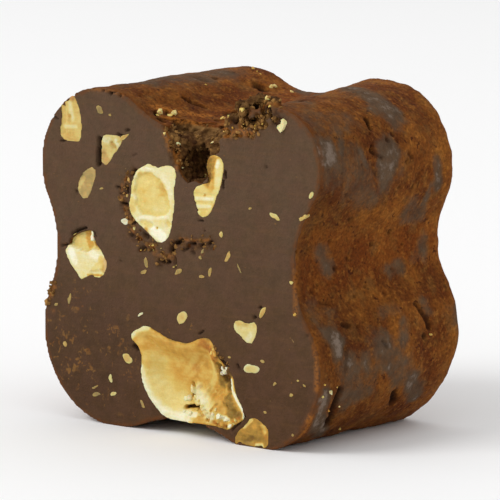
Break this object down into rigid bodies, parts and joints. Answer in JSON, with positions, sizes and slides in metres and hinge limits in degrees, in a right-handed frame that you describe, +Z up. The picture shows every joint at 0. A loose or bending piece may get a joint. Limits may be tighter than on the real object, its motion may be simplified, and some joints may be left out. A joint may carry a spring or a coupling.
{
  "type": "cut chocolate truffle",
  "caption": "Half of a four-lobed hazelnut chocolate truffle, cut across, dusted with cocoa powder outside, with chopped nut in the cut face.",
  "frame": {"origin": "on the surface that the truffle rests on, under the middle of its box", "axes": "+Z up; the bar runs along Y, with its cut face towards -Y and its dusted end towards +Y; X runs across the lobes"},
  "size_m": [0.0236, 0.014, 0.0222],
  "materials": {
    "chocolate": "matte milk-brown gianduja chocolate in the cut face, mantle dusted with orange-brown cocoa powder",
    "hazelnut": "satin cream to golden roasted hazelnut"
  },
  "bodies": {
    "root": {"chocolate": "chocolate", "hazelnut_shell": "hazelnut", "hazelnut_kernel": "hazelnut", "hazelnut_chunk": "hazelnut", "hazelnut_crescent": "hazelnut", "hazelnut_upper_edge": "hazelnut", "hazelnut_foot": "hazelnut", "hazelnut_wedge": "hazelnut", "hazelnut_sliver": "hazelnut", "hazelnut_triangle": "hazelnut"}
  },
  "joints": []
}
